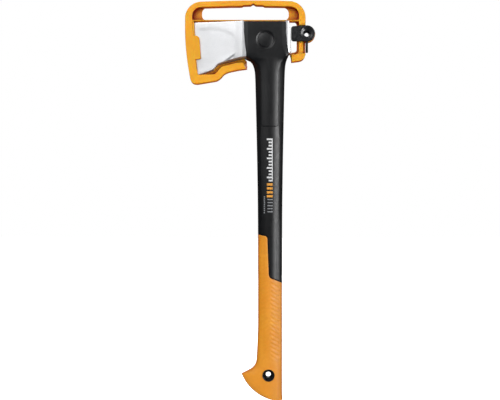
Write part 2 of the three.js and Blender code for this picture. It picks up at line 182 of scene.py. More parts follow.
def solid(verts, faces):
    """A closed mesh object from points in millimetres."""
    mesh = bpy.data.meshes.new("solid")
    mesh.from_pydata([tuple(v) for v in np.array(verts) * MM], [], [tuple(f) for f in faces])
    work = bmesh.new()
    work.from_mesh(mesh)
    bmesh.ops.recalc_face_normals(work, faces=work.faces)
    if work.calc_volume(signed=True) < 0:
        bmesh.ops.reverse_faces(work, faces=work.faces)
    work.to_mesh(mesh)
    work.free()
    return add_object("solid", mesh)


def boolean(base, tool, operation):
    """Applies a boolean to base and deletes the tool."""
    modifier = base.modifiers.new("boolean", "BOOLEAN")
    modifier.operation = operation
    modifier.solver = "MANIFOLD"
    modifier.object = tool
    view = bpy.context.evaluated_depsgraph_get()
    base.data = bpy.data.meshes.new_from_object(base.evaluated_get(view))
    base.modifiers.clear()
    bpy.data.objects.remove(tool)
    if not base.data.polygons:
        raise RuntimeError("a boolean left nothing")
    return base


def join(base, *tools):
    for tool in tools:
        boolean(base, tool, "UNION")
    return base


def cut(base, *tools):
    for tool in tools:
        boolean(base, tool, "DIFFERENCE")
    return base


def common(base, tool):
    return boolean(base, tool, "INTERSECT")


def cap_faces(rings, verts, facing_front):
    """Triangles that fill a plate's outline ring round its hole rings, on one side."""
    flat = [i for ring in rings for i in ring]
    polygons = [[Vector((verts[i][0], verts[i][2], 0)) for i in ring] for ring in rings]
    faces = []
    for triangle in tessellate_polygon(polygons):
        a, b, c = (flat[t] for t in triangle)
        pa, pb, pc = (np.array(verts[i])[[0, 2]] for i in (a, b, c))
        turn = (pb - pa)[0] * (pc - pa)[1] - (pb - pa)[1] * (pc - pa)[0]
        faces.append((a, b, c) if (turn > 0) == facing_front else (a, c, b))
    return faces


def plate(loops, front, rear, bevel=0.0, steps=4):
    """A flat plate from Y front to rear with rounded edges.

    The first loop is its outline and the rest are holes.
    """
    angles = np.linspace(0, math.pi / 2, steps + 1) if bevel else np.array([math.pi / 2])
    inset = bevel * (1 - np.sin(angles))
    depth = bevel * (1 - np.cos(angles)) if bevel else np.array([0.0])
    rows = ([(i, front + d) for i, d in zip(inset, depth)]
            + [(i, rear - d) for i, d in zip(inset[::-1], depth[::-1])])
    verts, faces, fronts, rears = [], [], [], []
    for number, loop in enumerate(loops):
        points = np.array(loop, float)
        if (area(points) > 0) != (number == 0):
            points = points[::-1]
        along = np.roll(points, -1, 0) - points
        along /= np.linalg.norm(along, axis=1)[:, None]
        inward = np.stack([-along[:, 1], along[:, 0]], 1)
        previous = np.roll(inward, 1, 0)
        mitre = (inward + previous) / (1 + np.sum(inward * previous, 1))[:, None]
        base, size = len(verts), len(points)
        for amount, y in rows:
            moved = points + mitre * amount
            verts += [(x, y, z) for x, z in moved]
        for r in range(len(rows) - 1):
            for k in range(size):
                a, b = base + r * size + k, base + r * size + (k + 1) % size
                faces.append((a, b, b + size, a + size))
        fronts.append(list(range(base, base + size)))
        rears.append(list(range(base + (len(rows) - 1) * size, base + len(rows) * size)))
    faces += cap_faces(fronts, verts, True) + cap_faces(rears, verts, False)
    return solid(verts, faces)


def through(*loops):
    """A cutting tool with the loops' outline, right through the object."""
    return plate(loops, -FAR, FAR)


def turned(centre, profile, segments=72):
    """A solid turned about the line through centre along Y, from a closed profile of (radius, y)."""
    centre_x, centre_z = centre
    verts, faces, rings = [], [], []
    for radius, y in profile:
        if radius < 1e-6:
            rings.append([len(verts)] * segments)
            verts.append((centre_x, y, centre_z))
            continue
        rings.append(list(range(len(verts), len(verts) + segments)))
        for k in range(segments):
            angle = 2 * math.pi * k / segments
            verts.append((centre_x + radius * math.cos(angle), y, centre_z + radius * math.sin(angle)))
    for here, after in zip(rings, rings[1:] + rings[:1]):
        for k in range(segments):
            m = (k + 1) % segments
            face = list(dict.fromkeys([here[k], here[m], after[m], after[k]]))
            if len(face) > 2:
                faces.append(face)
    return solid(verts, faces)


def bore(centre, radius, front=-FAR):
    """A round cutting tool from Y front to beyond the rear."""
    return turned(centre, [(0, front), (radius, front), (radius, FAR), (0, FAR)])


def wedge_tool(front, rear, y_front, y_rear):
    """A six-sided tool between a quadrilateral (x, z) in front and one behind."""
    verts = [(x, y_front, z) for x, z in front] + [(x, y_rear, z) for x, z in rear]
    faces = [(0, 1, 2, 3), (7, 6, 5, 4)] + [(k, (k + 1) % 4, (k + 1) % 4 + 4, k + 4) for k in range(4)]
    return solid(verts, faces)


def rounded_profile(corners, spacing=0.25):
    """A turned piece's closed profile whose corners (radius, y, fillet) are rounded."""
    return [tuple(p) for p in outline(corners, spacing)]


def loft(rows):
    """A closed solid through level rings of equally many (x, y, z) points."""
    count = len(rows[0])
    verts = np.concatenate(rows)
    faces = []
    for j in range(len(rows) - 1):
        for k in range(count):
            a, b = j * count + k, j * count + (k + 1) % count
            faces.append((a, b, b + count, a + count))
    half = count // 2
    top = (len(rows) - 1) * count
    for k in range(half - 1):
        a, b = k, k + 1
        c, d = count - 1 - b, count - 1 - a
        faces.append((a, d, c, b) if c != b else (a, d, b))
        faces.append((top + a, top + b, top + c, top + d))
    return solid(verts, faces)


def finish_piece(made, name, body, material, replaces, sharp=38):
    """Names a piece, shades it, ties it to its body and hides the CAD node that it replaces."""
    made.name = name
    made.data.name = name
    made.data.materials.clear()
    made.data.materials.append(material)
    made.data.shade_smooth()
    made.data.set_sharp_from_angle(angle=math.radians(sharp))
    weighted = made.modifiers.new("weighted normals", "WEIGHTED_NORMAL")
    weighted.keep_sharp = True
    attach(made, body)
    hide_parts(replaces)
    return made


# ------------ materials

def rgb(hex_colour):
    """The linear colour of an sRGB hex value."""
    parts = [int(hex_colour[i:i + 2], 16) / 255 for i in (0, 2, 4)]
    return [p / 12.92 if p <= 0.04045 else ((p + 0.055) / 1.055) ** 2.4 for p in parts] + [1.0]


class Nodes:
    """Short calls for building a material's node tree."""

    def __init__(self, name):
        self.material = bpy.data.materials.new(name)
        self.material.use_nodes = True
        self.tree = self.material.node_tree
        self.shader = self.tree.nodes["Principled BSDF"]
        self.place = self.tree.nodes.new("ShaderNodeTexCoord").outputs["Object"]

    def add(self, kind, inputs=(), **settings):
        node = self.tree.nodes.new("ShaderNode" + kind)
        for key, value in settings.items():
            setattr(node, key, value)
        for key, value in dict(inputs).items():
            self.put(node.inputs[key], value)
        return node

    def put(self, socket, value):
        if isinstance(value, bpy.types.NodeSocket):
            self.tree.links.new(value, socket)
        else:
            socket.default_value = value

    def set(self, **values):
        for key, value in values.items():
            self.put(self.shader.inputs[key.replace("_", " ")], value)

    def noise(self, size_mm, detail=3.0, stretch=(1, 1, 1), roughness=0.5):
        """Noise with blobs about size_mm across, stretched along the axes."""
        scale = [1 / s for s in stretch]
        place = self.add("Mapping", {"Vector": self.place, "Scale": scale}).outputs[0]
        node = self.add("TexNoise", {"Vector": place, "Scale": 1000 / size_mm, "Detail": detail,
                                     "Roughness": roughness})
        return node.outputs["Fac"]

    def ramp(self, value, low, high, start=0.35, end=0.65):
        """Maps start to low and end to high, smoothly."""
        node = self.add("MapRange", {"Value": value, "From Min": start, "From Max": end,
                                     "To Min": low, "To Max": high}, interpolation_type="SMOOTHSTEP")
        return node.outputs["Result"]

    def mix(self, amount, first, second):
        node = self.add("Mix", data_type="RGBA")
        self.put(node.inputs[0], amount)
        self.put(node.inputs[6], first)
        self.put(node.inputs[7], second)
        return node.outputs[2]

    def math(self, operation, first, second=0.0, third=0.0):
        node = self.add("Math", operation=operation)
        self.put(node.inputs[0], first)
        self.put(node.inputs[1], second)
        self.put(node.inputs[2], third)
        return node.outputs[0]

    def bump(self, height, depth_mm, previous=None):
        node = self.add("Bump", {"Height": height, "Distance": depth_mm * MM, "Strength": 1.0})
        if previous is not None:
            self.put(node.inputs["Normal"], previous)
        return node.outputs[0]

    def worn_edges(self, start=0.53, end=0.6):
        """1 along outer edges, from the mesh's own curvature."""
        pointiness = self.add("NewGeometry").outputs["Pointiness"]
        return self.ramp(pointiness, 0.0, 1.0, start, end)

    def rubbed(self, size_mm):
        """Patches along the outer edges that use has polished."""
        return self.math("MULTIPLY", self.worn_edges(), self.ramp(self.noise(size_mm, 5), 0, 0.5, 0.5, 0.7))

    def painted_wall_shade(self):
        """A mask for painted shade on side walls: 1 where the surface faces along the part's plane, 0 on
        its front and rear faces.
        """
        normal = self.add("SeparateXYZ", {"Vector": self.add("TexCoord").outputs["Normal"]})
        return self.ramp(self.math("ABSOLUTE", normal.outputs["Y"]), 1.0, 0.0, 0.2, 0.95)

    def painted_crevice_shade(self, reach_mm, start=0.42, end=0.95):
        """A mask for painted shade, from ambient occlusion: 1 deep inside the piece's own corners and
        pockets, 0 on its open faces.
        """
        openness = self.add("AmbientOcclusion", {"Distance": reach_mm * MM}, samples=8, only_local=True)
        return self.ramp(openness.outputs["AO"], 1.0, 0.0, start, end)


def orange_plastic():
    m = Nodes("orange_plastic")
    tone = m.mix(m.ramp(m.noise(60), 0, 1), rgb("e9a626"), rgb("eeae2b"))
    tone = m.mix(m.ramp(m.noise(5, 5), 0, 0.2), tone, rgb("df9820"))
    scuff = m.ramp(m.noise(1.6, 4, (9, 1, 1)), 0, 1, 0.62, 0.72)
    edge = m.worn_edges()
    tone = m.mix(m.math("MULTIPLY", m.math("MULTIPLY", edge, scuff), 0.5), tone, rgb("f4c777"))
    bump = m.bump(m.noise(0.5, 3), 0.012)
    bump = m.bump(m.noise(14, 2), 0.05, bump)
    # painted shade: side walls darkened to deep red-orange, as if out of the light
    tone = m.mix(m.math("MULTIPLY", m.painted_wall_shade(), 0.9), tone, rgb("d25f14"))
    # painted shade: corners and pockets darkened to dark red by ambient occlusion
    tone = m.mix(m.painted_crevice_shade(20), tone, rgb("8c1c04"))
    m.set(Base_Color=tone, Roughness=m.ramp(m.noise(9, 5), 0.38, 0.52), Normal=bump)
    m.set(Specular_IOR_Level=0.2)
    m.set(Subsurface_Weight=0.6, Subsurface_Scale=0.006, Subsurface_Radius=(1.0, 0.35, 0.08))
    return m.material


def soft_grip():
    m = Nodes("soft_grip")
    tone = m.mix(m.ramp(m.noise(45), 0, 1), rgb("e8941c"), rgb("ec9c22"))
    tone = m.mix(m.ramp(m.noise(4, 6), 0, 0.4), tone, rgb("e18e1a"))
    grime = m.ramp(m.noise(22, 6), 0, 0.16, 0.5, 0.75)
    tone = m.mix(grime, tone, rgb("a8641f"))
    # painted shade: the grip's side walls darkened to red-orange
    tone = m.mix(m.math("MULTIPLY", m.painted_wall_shade(), 0.7), tone, rgb("cd6412"))
    bump = m.bump(m.noise(0.45, 2), 0.03)
    bump = m.bump(m.noise(3.5, 3), 0.03, bump)
    m.set(Base_Color=tone, Roughness=m.ramp(m.noise(6, 5), 0.5, 0.64), Normal=bump)
    m.set(Specular_IOR_Level=0.4, Sheen_Weight=0.06, Sheen_Roughness=0.5)
    m.set(Subsurface_Weight=0.08, Subsurface_Scale=0.003, Subsurface_Radius=(1.0, 0.3, 0.08))
    return m.material


def between(m, value, low, high, soft=0.08):
    """1 where a coordinate in millimetres lies between low and high."""
    rise = m.ramp(value, 0, 1, (low - soft) * MM, (low + soft) * MM)
    fall = m.ramp(value, 1, 0, (high - soft) * MM, (high + soft) * MM)
    return m.math("MULTIPLY", rise, fall)


def printed(m, x, y, z, blocks):
    """A mask of printed blocks (x low, x high, z low, z high) on the handle's front."""
    total = None
    for x_low, x_high, z_low, z_high in blocks:
        block = m.math("MULTIPLY", between(m, x, x_low, x_high), between(m, z, z_low, z_high))
        total = block if total is None else m.math("MAXIMUM", total, block)
    front = m.math("LESS_THAN", y, 0.0)
    worn = m.ramp(m.noise(0.7, 4), 1.0, 0.82, 0.55, 0.7)
    return m.math("MULTIPLY", m.math("MULTIPLY", total, front), worn)


PRINT_LEFT = -5.5          # the printed strip on the front of the handle
PRINT_RIGHT = 4.0


def white_blocks():
    """A generic row of bars like the marks on a ruler, long and short by turns."""
    blocks = []
    z = 290.5
    for k in range(14):
        left = PRINT_LEFT if k % 3 == 0 else PRINT_LEFT + 3
        blocks.append((left, PRINT_RIGHT, z - 2.6, z))
        z -= 5.2
    blocks.append((PRINT_RIGHT - 1.4, PRINT_RIGHT, 222.5, 290.5))
    return blocks


def orange_blocks():
    return [(PRINT_LEFT, PRINT_RIGHT, 213.5 - 6.4 * k, 217.2 - 6.4 * k) for k in range(4)]


def grey_blocks():
    blocks = [(PRINT_LEFT + 1, PRINT_RIGHT, 190 - 5 * k, 191.6 - 5 * k) for k in range(5)]
    blocks += [(PRINT_LEFT - 5, PRINT_LEFT - 3, 194 - 3.2 * k, 195.8 - 3.2 * k) for k in range(9)]
    return blocks


def black_composite(with_print):
    m = Nodes("black_composite_printed" if with_print else "black_composite")
    tone = m.mix(m.ramp(m.noise(50), 0, 1), rgb("0d0e10"), rgb("111214"))
    speckle = m.ramp(m.noise(0.9, 2), 0, 1, 0.56, 0.7)
    tone = m.mix(m.math("MULTIPLY", speckle, 0.35), tone, rgb("1e1f22"))
    tone = m.mix(m.rubbed(3), tone, rgb("3a3b3e"))
    rough = m.ramp(m.noise(7, 5), 0.36, 0.44)
    bump = m.bump(m.noise(0.6, 3, (1, 1, 2)), 0.035)
    bump = m.bump(m.noise(18, 2), 0.045, bump)
    if with_print:
        split = m.add("SeparateXYZ", {"Vector": m.place})
        x, y, z = split.outputs
        for blocks, colour in ((white_blocks(), "d9dadb"), (orange_blocks(), "e09a35"),
                               (grey_blocks(), "8d8f92")):
            tone = m.mix(printed(m, x, y, z, blocks), tone, rgb(colour))
    m.set(Base_Color=tone, Roughness=rough, Normal=bump, Specular_IOR_Level=0.36)
    return m.material


def gloss_black():
    m = Nodes("gloss_black")
    tone = m.mix(m.ramp(m.noise(20), 0, 1), rgb("131416"), rgb("191a1c"))
    tone = m.mix(m.rubbed(2), tone, rgb("303236"))
    bump = m.bump(m.noise(0.5, 3), 0.01)
    bump = m.bump(m.noise(9, 2), 0.04, bump)
    m.set(Base_Color=tone, Roughness=m.ramp(m.noise(4, 5), 0.26, 0.38), Normal=bump)
    m.set(Specular_IOR_Level=0.5)
    return m.material


def forged_steel():
    m = Nodes("forged_steel")
    tone = m.mix(m.ramp(m.noise(40, 3), 0, 1), rgb("cbccce"), rgb("d3d4d6"))
    tone = m.mix(m.ramp(m.noise(2.5, 6), 0, 0.25, 0.5, 0.75), tone, rgb("bfc0c3"))
    grind = m.noise(0.22, 4, (60, 1, 1))
    bump = m.bump(grind, 0.006)
    bump = m.bump(m.noise(6, 3), 0.02, bump)
    m.set(Base_Color=tone, Metallic=0.85, Roughness=m.ramp(grind, 0.34, 0.46), Normal=bump)
    m.set(Specular_IOR_Level=0.5)
    return m.material


ORANGE = orange_plastic()
GRIP = soft_grip()
BLACK = black_composite(False)
BLACK_PRINTED = black_composite(True)
GLOSS = gloss_black()
STEEL = forged_steel()


# ------------ axe head

HEAD_TOP = HEAD_HIGH[2]
HEAD_START = -135          # about where the cutting edge is, and the head's length and height from there
HEAD_LENGTH = 168
HEAD_HEIGHT = 80
TOP_FILLET = 1.4           # rounding of the head's top and bottom edges, and of the poll's
POLL_FILLET = 1.6
HOLLOW_DEPTH = 0.22        # how deep the hollow ground into each cheek is
HEEL_DEPTH = 0.85          # how deep the crease over the heel is
EYE_R = 9.3
POLL_X = 32.5              # poll face at the height of the latch pivot
POLL_SLOPE = math.tan(math.radians(3.3))
POLL_HALF = HEAD_HIGH[1]
WEB_HALF = 11              # half thickness of the steel inside the moulding

cutting_edge = curve([(393.5, -127.0), (415, -131.3), (437, -134.4), (460, -135.3), (483, -134.6)])
head_bottom = curve([(-135.6, 392.4), (-127, 393.5), (-97, 402.4), (-93.2, 404.4), (-90, 408), (-86.5, 412),
                     (-82, 414), (-43, 423.6), (30, 430), (35, 432.5)])
wedge_half = curve([(-137.5, 0.5), (-127.5, 2.5), (-112, 4.7), (-85, 8.3), (-66, 12.2), (-57, 14),
                    (-50, 16), (-45, POLL_HALF), (POLL_X - 5, POLL_HALF), (POLL_X + 6, POLL_HALF - 5)])


def moulding_left(z):
    """Where the handle's moulding meets the cheek."""
    return handle_left(np.clip(z, 427, None))


def moulding_right(z):
    """Where the handle's moulding meets the poll."""
    return handle_right(np.clip(z, 428.5, None))


def poll_face(z):
    return POLL_X + (PIVOT[1] - z) * POLL_SLOPE


def cheek_half(x, z):
    """Half thickness of the head: a wedge with a hollow ground into each cheek and a creased heel."""
    half = wedge_half(x)
    right_side = smooth(x, -62, -54)
    top_side = smooth(z - 470 + 0.012 * (x + 92) ** 2 * (x > -92), -3, 5)
    inside = (1 - right_side) * (1 - top_side) * smooth(x, -128, -108) * smooth(z - head_bottom(x), 0, 14)
    half = half - HOLLOW_DEPTH * inside
    crease = (z - 413.7) - (x + 82.5) * (429.6 - 413.7) / (82.5 - 59.2)
    heel = smooth(-crease, 0, 4.5) * (1 - smooth(-crease, 4.5, 26)) * smooth(x, -86, -66)
    return half - HEEL_DEPTH * heel * (1 - smooth(x, -60.5, -56.5))


def moulding_recess(front, rear):
    """The space that the handle's moulding takes up in the head, from Y front to rear."""
    heights = np.linspace(405, HEAD_TOP + 5, 60)
    left = [(moulding_left(z) - 0.1, z) for z in heights]
    right = [(moulding_right(z) + 0.1, z) for z in heights[::-1]]
    return plate([left + right], front, rear)


def eased(count, edge_mm, length_mm):
    """Shares from 0 to 1 that lie close together over a rounded edge at each end."""
    fillet = edge_mm / length_mm * (1 - np.cos(np.linspace(0, math.pi / 2, 5)))
    middle = np.linspace(fillet[-1], 1 - fillet[-1], count)[1:-1]
    return np.concatenate([fillet, middle, 1 - fillet[::-1]])


def edge_drop(share, edge_mm, length_mm):
    """How far a face has turned away at a share across it, 1 at its rounded edges."""
    distance = np.minimum(share, 1 - share) * length_mm
    t = np.clip(1 - distance / edge_mm, 0, 1)
    return 1 - np.sqrt(1 - t * t)


def axe_head():
    across = eased(120, POLL_FILLET, HEAD_LENGTH)[4:]
    up = eased(70, TOP_FILLET, HEAD_HEIGHT)
    share_x, share_z = np.meshgrid(across, up)
    x = HEAD_START + share_x * HEAD_LENGTH
    for _ in range(6):
        bottom = head_bottom(x)
        z = bottom + (HEAD_TOP - bottom) * share_z
        left, right = cutting_edge(z), poll_face(z)
        x = left + (right - left) * (share_x - across[0]) / (1 - across[0])
    fillet_z = TOP_FILLET * edge_drop(share_z, TOP_FILLET, HEAD_HEIGHT)
    fillet_x = POLL_FILLET * edge_drop(share_x, POLL_FILLET, HEAD_LENGTH) * (share_x > 0.5)
    half = np.maximum(cheek_half(x, z) - np.hypot(fillet_z, fillet_x), 0.15)
    made = sheet_pair(x, half, z)
    cut(made, moulding_recess(-FAR, -WEB_HALF), moulding_recess(WEB_HALF, FAR))
    cut(made, bore(EYE, EYE_R))
    return finish_piece(made, "head", "axe", STEEL, "axe_head", 42)


def sheet_pair(x, half, z):
    """A closed solid between the sheets Y = -half and Y = half over a grid of (x, z)."""
    rows, columns = x.shape
    front = np.stack([x, -half, z], -1).reshape(-1, 3)
    rear = np.stack([x, half, z], -1).reshape(-1, 3)
    verts = np.concatenate([front, rear])
    faces = []
    size = rows * columns
    for j in range(rows - 1):
        for k in range(columns - 1):
            a = j * columns + k
            faces.append((a, a + 1, a + 1 + columns, a + columns))
            faces.append((size + a, size + a + columns, size + a + 1 + columns, size + a + 1))
    rim = ([k for k in range(columns)] + [j * columns + columns - 1 for j in range(1, rows)]
           + [(rows - 1) * columns + k for k in range(columns - 2, -1, -1)]
           + [j * columns for j in range(rows - 2, 0, -1)])
    for a, b in zip(rim, rim[1:] + rim[:1]):
        faces.append((b, a, size + a, size + b))
    return solid(verts, faces)


# ------------ handle

WRAP_TOP = SHELL_HIGH[2]
WRAP_HALF = SHELL_HIGH[1]
PANEL_BOTTOM = 310.6       # lower end of the raised panel on the neck
PANEL_CORNER = 4.0
PANEL_RAISE = 1.0
CROWN = 3.6                # how far the handle's front falls away from its middle to its edges
CHAMFER_SHARE = 0.45       # share of the moulding's side that its chamfer takes, and the chamfer's depth
CHAMFER_DROP = 1.1
PLUG_HOLE_R = 12.7              # the hole for the lock plugs in the moulding

handle_left = curve([(-72, -22.2), (-42, -20.6), (-10, -19.8), (123, -19.8), (377, -24), (400, -25),
                     (407, -26.4), (413.5, -28.8), (417.5, -32), (421, -36), (423.6, -40.4),
                     (427, -39.3), (448, -41.6), (470, -42.9), (WRAP_TOP, -42.9)])
handle_right = curve([(-139, 20.7), (-124, 19.9), (123, 20), (377, 23.8), (400, 24.5), (410, 25.2),
                      (417, 26.5), (423.5, 28.6), (428.5, 30.4), (446, 27.6), (474, 25.6),
                      (WRAP_TOP, 25.6)])
panel_left = curve([(120, -11.5), (300, -15.2), (393.6, -16.2), (401.8, -16.9), (411.5, -20), (417.2, -25),
                    (419.7, -29.7), (422.1, -35), (426, -35.8), (440, -36), (WRAP_TOP, -36.8)])
panel_right = curve([(120, 11.5), (300, 13.9), (393.6, 14.7), (405, 15.9), (413.2, 17.7), (421.3, 22.4),
                     (427, 25.6), (433, 22.5), (446, 20), (WRAP_TOP, 18.8)])
front_half = curve([(-139, 12), (-128, 13), (-70, 13.4), (10, 15.2), (140, 15), (377, 15.4), (400, 16.3),
                    (425, 17.6), (440, WRAP_HALF), (WRAP_TOP, WRAP_HALF)])

# The edge between the soft grip and the shaft, from the cutting-edge side to the poll side.
GRIP_LINE = [(-60, 133.6), (-19.9, 133.6), (-4.6, 130.4, 5), (-1.9, 63.5, 7), (19.2, 54.4), (60, 37.5)]


def grip_region(shift):
    line = [(corner[0] - (shift if 1 < i < 4 else 0), corner[1] - shift, *corner[2:])
            for i, corner in enumerate(GRIP_LINE)]
    return outline([*line, (60, -170), (-60, -170)], 0.5)


def distance_to_line(x, z, points):
    """Distance from each (x, z) to a chain of points."""
    best = np.full(np.shape(x), 1e9)
    for (ax, az), (bx, bz) in zip(points, points[1:]):
        along = np.array([bx - ax, bz - az])
        t = np.clip(((x - ax) * along[0] + (z - az) * along[1]) / (along @ along), 0, 1)
        best = np.minimum(best, np.hypot(x - ax - t * along[0], z - az - t * along[1]))
    return best


def face_edges(z, left, right):
    """Where the handle's front face ends on each side."""
    edge_left = panel_left(z)
    if z < 0:
        edge_left = max(edge_left, left + 0.2 * (right - left))
    return edge_left, max(panel_right(z), edge_left + 6)


def panel_tuck(z):
    """How far the panel's edge keeps inside the front face at its lower end."""
    if z > PANEL_BOTTOM - 1.2:
        below = np.clip((PANEL_BOTTOM + PANEL_CORNER - z) / PANEL_CORNER, 0, 1)
        tuck = PANEL_CORNER * (1 - math.sqrt(1 - below ** 2))
    else:
        tuck = PANEL_CORNER * (1 - smooth(PANEL_BOTTOM - z, 1.2, 12))
    return max(tuck, 0.3)


def side_points(edge, limit, depth, front, powers, chamfer):
    """One side of the section: rounded at chamfer 0, chamfered then flat at chamfer 1."""
    angles = np.linspace(0, math.pi / 2, 22)
    across, deep = np.sin(angles) ** (2 / powers[0]), np.cos(angles) ** (2 / powers[1])
    round_x, round_y = edge + (limit - edge) * across, depth * deep
    share = np.linspace(0, 1, len(angles))
    slope = np.clip(share / CHAMFER_SHARE, 0, 1)
    flat_x = edge + (limit - edge) * slope
    below = (front - CHAMFER_DROP) * (1 - (share - CHAMFER_SHARE) / (1 - CHAMFER_SHARE))
    flat_y = np.where(share < CHAMFER_SHARE, front - CHAMFER_DROP * slope, below)
    side_x = round_x * (1 - chamfer) + flat_x * chamfer
    side_y = round_y * (1 - chamfer) + flat_y * chamfer
    return list(zip(side_x, side_y))


def step_points(edge, outward, tuck, lower, raise_by):
    """The rounded step from the raised panel down to the face beside it."""
    inner = edge - outward * tuck
    top = lower + raise_by
    return [(inner - outward * 1.6, top), (inner - outward * 0.9, top),
            (inner - outward * 0.45, top - 0.15 * raise_by), (inner - outward * 0.1, top - 0.6 * raise_by),
            (inner, lower), (inner + outward * tuck / 3, lower), (inner + outward * tuck / 1.5, lower)]


def half_section(z, left, right, inset, powers, chamfer):
    """Front half of the handle's section at a height, from the poll side round."""
    front = front_half(z)
    lower = front - PANEL_RAISE * smooth(z, 200, 280) * (1 - smooth(z, 405, 424))
    raise_by = (front - lower) * smooth(z, PANEL_BOTTOM - 0.5, PANEL_BOTTOM + 0.4)
    crown = CROWN * (1 - chamfer) * (0.4 + 0.6 * smooth(z, -95, -45))
    edge_left, edge_right = face_edges(z, left, right)
    middle = (edge_left + edge_right) / 2
    width = edge_right - edge_left
    side_r = side_points(edge_right, right, lower - crown, front, powers, chamfer)
    side_l = side_points(edge_left, left, lower - crown, front, powers, chamfer)
    step_r = step_points(edge_right, 1, panel_tuck(z), lower, raise_by)
    step_l = step_points(edge_left, -1, panel_tuck(z), lower, raise_by)
    flat_x = np.linspace(step_r[0][0], step_l[0][0], 24)[1:-1]
    crowned = np.array(step_r[::-1] + [(x, lower + raise_by) for x in flat_x] + step_l)
    crowned[:, 1] -= crown * ((crowned[:, 0] - middle) / (width / 2)) ** 2
    chain = np.concatenate([side_r[::-1], crowned, side_l])
    centre, span = (left + right) / 2, (right - left) / 2
    chain[:, 0] = centre + (chain[:, 0] - centre) * (span - inset) / span
    chain[:, 1] *= (front - inset) / front
    return chain


def ring(z, left, right, inset=0.0, powers=(2.3, 2.3), chamfer=0.0):
    """A closed level section of the handle as (x, y, z) points."""
    chain = half_section(z, left, right, inset, powers, chamfer)
    front = [(x, -y, z) for x, y in chain]
    rear = [(x, y, z) for x, y in chain[::-1][1:-1]]
    return np.array(front + rear)


def groove(rows):
    """Sinks the surface a little along the edge of the soft grip."""
    line = [p for p in grip_region(0.15) if p[1] > 36]
    for row in rows:
        if 25 < row[0][2] < 145:
            near = distance_to_line(row[:, 0], row[:, 2], line)
            row[:, 1] *= 1 - 0.06 * (1 - smooth(near, 0.2, 1.5))
    return rows


def side_powers(z):
    """How full the handle's sides are: round at the grip, leaner along the bare shaft."""
    bare = smooth(z, 140, 170)
    return 1 + bare * (0.3 - 0.25 * smooth(z, 285, 312)), 2.75 - 1.15 * bare


def shaft_rows(bottom, inset=0.0):
    heights = np.concatenate([
        np.arange(bottom, 30, 4), np.arange(30, 140, 0.9), np.arange(140, 300, 5),
        np.arange(300, PANEL_BOTTOM - 2, 1.5), np.arange(PANEL_BOTTOM - 2, PANEL_BOTTOM + 5, 0.35),
        np.arange(PANEL_BOTTOM + 5, 395, 3), np.arange(395, 432, 1.1), np.arange(432, WRAP_TOP - 2, 2.4)])
    rows = [ring(z, handle_left(z), handle_right(z), inset, side_powers(z), smooth(z, 416, 430))
            for z in heights]
    for angle in np.linspace(0, math.pi / 2, 5):
        z = WRAP_TOP - 1.5 + 1.5 * math.sin(angle)
        drop = 1.5 * (1 - math.cos(angle))
        rows.append(ring(z, handle_left(z), handle_right(z), inset + drop, (2.3, 2.3), 1.0))
    return rows


CORE_BOTTOM = -72
GRIP_THICKNESS = 2.6


def core(extra, top, bottom=CORE_BOTTOM):
    """The handle's straight core inside the grip."""
    heights = np.linspace(bottom, top, 40)
    thick = GRIP_THICKNESS + extra
    return loft([ring(z, handle_left(max(z, CORE_BOTTOM)), handle_right(z), thick) for z in heights])


def handle():
    made = loft(groove(shaft_rows(-60)))
    cut(made, through(grip_region(0)))
    join(made, core(GAP, 170))
    cut(made, core(4.5, 390, CORE_BOTTOM - 5))
    web = outline([(-70, 419), (-70, 476.3), (60, 476.3), (60, 429), (-35, 422.7)])
    cut(made, plate([web], -WEB_HALF - GAP, WEB_HALF + GAP))
    for side in (-1, 1):
        lip = [(0, 15.6), (PLUG_HOLE_R, 15.6), (PLUG_HOLE_R, 17.1), (13.0, 17.2),
               (15.3, 18.3), (15.9, 18.52), (15.9, FAR), (0, FAR)]
        cut(made, turned(EYE, [(radius, side * y) for radius, y in lip]))
    cut(made, bore(EYE, PLUG_HOLE_R))
    return finish_piece(made, "handle", "axe", BLACK_PRINTED, "handle_shell")


def lock_plug(node, name, side):
    """A domed round plug that locks the moulding into the eye of the head."""
    profile = [(0, 0.3), (9, 0.3), (9, 11.4), (12.4, 11.4), (12.4, 16.5), (12.2, 16.9), (11.7, 17.2),
               (10.5, 17.5), (8.5, 17.8), (6, 18.08), (3, 18.25), (0, 18.3)]
    made = turned(EYE, [(r, side * y) for r, y in profile])
    return finish_piece(made, name, "axe", BLACK, node)


# ------------ grip

POMMEL_ARC = (18.0, -70.5, 69.8)
HOOK_TIP = (-47.0, -95.8)
hook_top = curve([(HOOK_TIP[1], HOOK_TIP[0]), (-91.3, -37.9), (-86.4, -29.3), (-81.4, -25.1),
                  (-76.5, -23), (-72, -22.2)])
LINING_R = 9.8
POMMEL_ROUND = 3           # rounding of the pommel's lower edge
RIB_PITCH = 7.0
RIB_DEPTH = 0.28
RIB_APEX = 0.5             # X of the chevrons' points


def grip_left(z):
    """The grip's outline on the side of the cutting edge: shaft, then hook, then pommel."""
    if z >= -72:
        return float(handle_left(z))
    if z >= HOOK_TIP[1]:
        return float(hook_top(z))
    x, centre_z, radius = POMMEL_ARC
    return x - math.sqrt(radius ** 2 - (z - centre_z) ** 2)


def ribs(rows):
    """Fine chevron ribs pressed into the faces of the grip."""
    for row in rows:
        x, z = row[:, 0], row[:, 2]
        side = np.where(x > RIB_APEX, 1.0, 0.55)
        wave = np.sin(2 * math.pi * (z + 0.62 * np.abs(x - RIB_APEX)) / RIB_PITCH)
        reach = smooth(z, -82, -60) * (1 - smooth(z, 105, 125)) * (1 - smooth(np.abs(x), 13, 18))
        row[:, 1] += np.sign(row[:, 1]) * RIB_DEPTH * (wave - 1) * side * reach
    return rows


